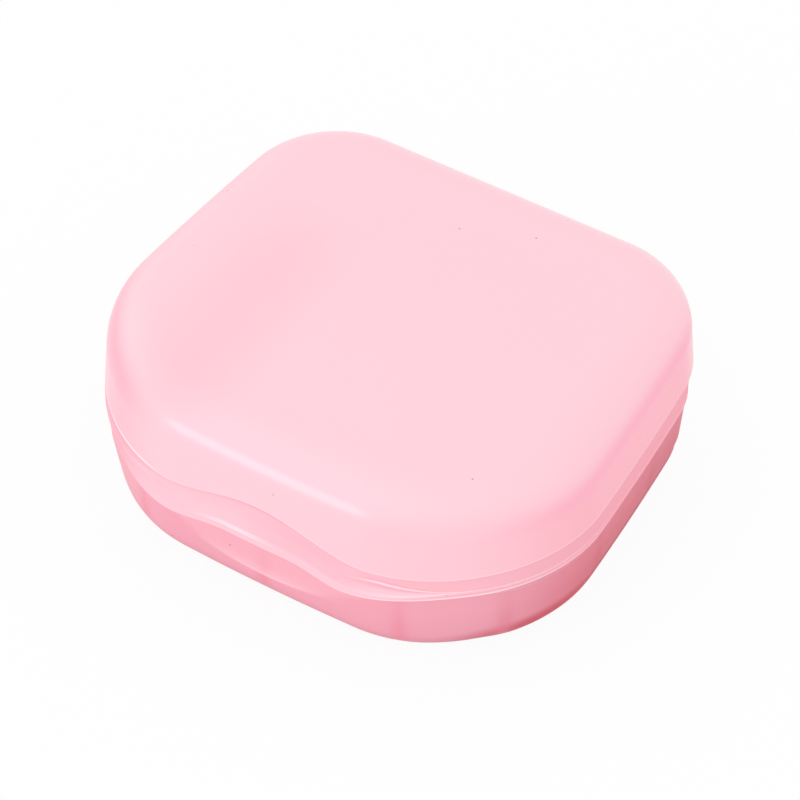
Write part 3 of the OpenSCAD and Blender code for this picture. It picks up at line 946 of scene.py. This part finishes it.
# the ribs themselves: each is a profile of reach and height, drawn out to its thickness and turned in place
ribMesh = bmesh.new()
sunk = base["floor"] - ribs["sink"]
noseTop = ribs["shelfZ"] + ribs["noseHeight"]
ribProfile = [
    (base["footRadius"] / 4, sunk),
    (ribs["reach"], sunk),
    (ribs["reach"], ribs["shelfZ"]),
    (ribs["nose"], ribs["shelfZ"]),
    (ribs["nose"], noseTop),
    (-ribs["root"], ribs["topZ"]),
    (-ribs["root"], base["footRadius"] + base["innerRise"]),
]
for spot in ribSpots:
    wall = spot.at(-sideIn - base["wall"] - base["cavityBackIn"] * spot.back)
    near = [ribMesh.verts.new((reach, -ribs["thickness"] / 2, z)) for reach, z in ribProfile]
    side = ribMesh.faces.new(near)
    far = vertsOf(bmesh.ops.extrude_face_region(ribMesh, geom=[side])["geom"])
    bmesh.ops.translate(ribMesh, verts=far, vec=(0, ribs["thickness"], 0))
    around = math.atan2(spot.normal.y, spot.normal.x) + 2 * quarter
    turned = Matrix.Translation((wall.x, wall.y, 0)) @ Matrix.Rotation(around, 4, "Z")
    bmesh.ops.transform(ribMesh, matrix=turned, verts=near + far)
bmesh.ops.bevel(ribMesh, geom=list(ribMesh.edges), offset=ribs["edge"], segments=2, profile=0.5,
                affect="EDGES", material=-1)
bmesh.ops.recalc_face_normals(ribMesh, faces=ribMesh.faces)
finishPiece(makeObject(ribMesh, "trayRibs"), "base", basePlastic)

# bead on the front of the collar, over which the lid snaps
bead = {
    "radius": 0.0007,
    "out": 0.0002,
    "length": 0.016,
    "edge": 0.0005,
}
beadMesh = bmesh.new()
frontSpot = min(ribSpots, key=lambda spot: spot.point.y)
collarY = frontSpot.at(-lid["rimIn"] - lid["rimWall"] - base["collarGap"]).y
beadCentre = Vector((0, collarY + bead["radius"] - bead["out"], mix(shoulderZ, collarZ, 0.5)))
beadTurn = Matrix.Translation(beadCentre) @ Matrix.Rotation(quarter, 4, "Y")
bmesh.ops.create_cone(beadMesh, cap_ends=True, segments=32, radius1=bead["radius"], radius2=bead["radius"],
                      depth=bead["length"], matrix=beadTurn)
beadEnds = [edge for edge in beadMesh.edges if len(edge.link_faces) == 2 and edge.calc_face_angle() > 1]
bmesh.ops.bevel(beadMesh, geom=beadEnds, offset=bead["edge"], segments=4, profile=0.5,
                affect="EDGES", material=-1)
finishPiece(makeObject(beadMesh, "snapBead"), "base", basePlastic)
print("ribs and bead made")


# drain tray
tray = {
    "thick": 0.0014,
    "wall": 0.0012,
    "gap": 0.0005,
    "lap": 0.002,           # level stretch on each side of the wall
    "bottomEdge": 0.0006,
    "topEdge": 0.0004,
    "innerEdge": 0.001,
    # painted highlight along the top of the rim
    "shine": 0.3,
    "notchHalf": 0.008,
    "notchRun": 0.0012,
    "notchZ": trayLow.z + 0.0024,
    "hole": 0.0016,
    "pitch": 0.008,
    "rows": 3,              # on each side of the middle one
    "corner": 6,            # rows and places that add up to this hold no hole
    "flare": 0.0003,
    "holeSteps": 28,
}


def trayColumn(spot):
    outer = -sideIn - base["wall"] - ribs["nose"] - tray["gap"] - base["cavityBackIn"] * spot.back
    inner = outer - tray["wall"]
    notch = 0
    if abs(spot.normal.y) > 0.9:        # in the middle of the front and of the back
        notch = 1 - ramp(abs(spot.point.x), tray["notchHalf"], tray["notchRun"])
    top = mix(trayHigh.z, tray["notchZ"], notch)
    plateZ = trayLow.z + tray["thick"]
    under = [(outer - tray["lap"], k, trayLow.z, 0.0) for k in (0.2, 0.5, 0.8)]
    rim = softened([
        (outer - tray["lap"], trayLow.z, 0, 0),
        (outer, trayLow.z, tray["bottomEdge"], 0),
        (outer, top, tray["topEdge"], tray["shine"]),
        (inner, top, tray["topEdge"], tray["shine"]),
        (inner, plateZ, tray["innerEdge"], 0),
        (inner - tray["lap"], plateZ, 0, 0),
    ])
    plate = [(inner - tray["lap"], k, plateZ, 0.0) for k in (0.8, 0.5, 0.2)]
    return under + rim + plate


trayColumns = [trayColumn(spot) for spot in spots]
drainTray = makeObject(loft(trayColumns, trayLow.z, trayLow.z + tray["thick"]), "drainTray")

# one drill for each hole, flared at its top; the drill's profile is given as radius and height
drill = bmesh.new()
wide = tray["hole"] + tray["flare"] * 2
drillTop = tray["thick"] / 2 + tray["flare"]
drillProfile = [
    (0, -tray["thick"]),
    (tray["hole"], -tray["thick"]),
    (tray["hole"], tray["thick"] / 2 - tray["flare"]),
    (wide, drillTop),
    (0, drillTop),
]
places = range(-tray["rows"], tray["rows"] + 1)
for i, j in [(i, j) for i in places for j in places if abs(i) + abs(j) < tray["corner"]]:
    middle = Vector((i * tray["pitch"], j * tray["pitch"], trayLow.z + tray["thick"] / 2))
    chain = [drill.verts.new(middle + Vector((reach, 0, z))) for reach, z in drillProfile]
    edges = [drill.edges.new(pair) for pair in zip(chain, chain[1:])]
    bmesh.ops.spin(drill, geom=chain + edges, cent=middle, axis=(0, 0, 1), angle=4 * quarter,
                   steps=tray["holeSteps"], use_merge=True)
bmesh.ops.remove_doubles(drill, verts=drill.verts, dist=0.00001)
bmesh.ops.recalc_face_normals(drill, faces=drill.faces)
cutAway(drainTray, drill)
finishPiece(drainTray, "tray", trayPlastic, ["drain_tray"])
print("tray made")


# stage, camera and light
stage = {
    "colour": (0.92, 0.9, 0.9, 1),
    "white": 0.94,          # the rest is left to the shadow
    "half": 1.5,
}


def floorMaterial(name, colour, white):
    # white where the camera sees it, with a soft shadow from its diffuse share
    material = bpy.data.materials.new(name)
    material.use_nodes = True
    tree = material.node_tree
    tree.nodes.remove(tree.nodes["Principled BSDF"])
    lit = addNode(tree, "ShaderNodeBsdfDiffuse", {}, {"Color": colour})
    plain = addNode(tree, "ShaderNodeEmission", {}, {"Color": (1, 1, 1, 1), "Strength": 1.0})
    rays = tree.nodes.new("ShaderNodeLightPath")
    seen = Wire(rays.outputs["Is Camera Ray"])
    seen = seen.join("MAXIMUM", seen, Wire(rays.outputs["Is Glossy Ray"]))
    seen = seen.join("MAXIMUM", seen, Wire(rays.outputs["Is Transmission Ray"]))
    blend = addNode(tree, "ShaderNodeMixShader", {}, {0: seen * white, 1: lit, 2: plain})
    tree.links.new(blend.socket, tree.nodes["Material Output"].inputs["Surface"])
    return material


floorMesh = bmesh.new()
bmesh.ops.create_grid(floorMesh, x_segments=1, y_segments=1, size=stage["half"])
floor = makeObject(floorMesh, "floor")
floor.data.materials.append(floorMaterial("floor_white", stage["colour"], stage["white"]))

view = {
    "azimuth": math.radians(31.867),
    "elevation": math.radians(46.172),
    "roll": math.radians(0.2336),
    "distance": 0.55653,
    "aside": 0.000778,
    "above": 0.00762,
    "lens": 157.5,
    "sensor": 36,
    "clipStart": 0.01,
}


def directionFrom(around, up):
    return Vector((math.sin(around) * math.cos(up), -math.cos(around) * math.cos(up), math.sin(up)))


def placeCamera():
    back = directionFrom(view["azimuth"], view["elevation"])
    right = Vector((math.cos(view["azimuth"]), math.sin(view["azimuth"]), 0))
    above = back.cross(right)
    turned = right * math.cos(view["roll"]) + above * math.sin(view["roll"])
    upright = above * math.cos(view["roll"]) - right * math.sin(view["roll"])
    camera = bpy.data.objects.new("camera", bpy.data.cameras.new("camera"))
    camera.data.lens = view["lens"]
    camera.data.sensor_width = view["sensor"]
    camera.data.clip_start = view["clipStart"]
    camera.matrix_world = Matrix((turned, upright, back)).transposed().to_4x4()
    camera.location = turned * view["aside"] + upright * view["above"] + back * view["distance"]
    bpy.context.scene.collection.objects.link(camera)
    bpy.context.scene.camera = camera


placeCamera()

lamp = {
    "azimuth": math.radians(-23),
    "elevation": math.radians(18),
    "distance": 0.7,
    "targetZ": 0.016,
    "size": (0.36, 0.22),
    "power": 0.75,          # watts
}


def addLamp():
    toward = directionFrom(lamp["azimuth"], lamp["elevation"])
    data = bpy.data.lights.new("keyLamp", "AREA")
    data.shape = "ELLIPSE"
    data.size, data.size_y = lamp["size"]
    data.energy = lamp["power"]
    panel = bpy.data.objects.new("keyLamp", data)
    panel.location = toward * lamp["distance"] + Vector((0, 0, lamp["targetZ"]))
    panel.rotation_mode = "QUATERNION"
    panel.rotation_quaternion = toward.to_track_quat("Z", "Y")
    bpy.context.scene.collection.objects.link(panel)


addLamp()

world = bpy.data.worlds.new("studio")
bpy.context.scene.world = world
world.use_nodes = True
background = world.node_tree.nodes["Background"]
background.inputs["Color"].default_value = (1, 1, 1, 1)
background.inputs["Strength"].default_value = 1.0
bpy.context.scene.view_settings.view_transform = "Standard"
print("stage set")
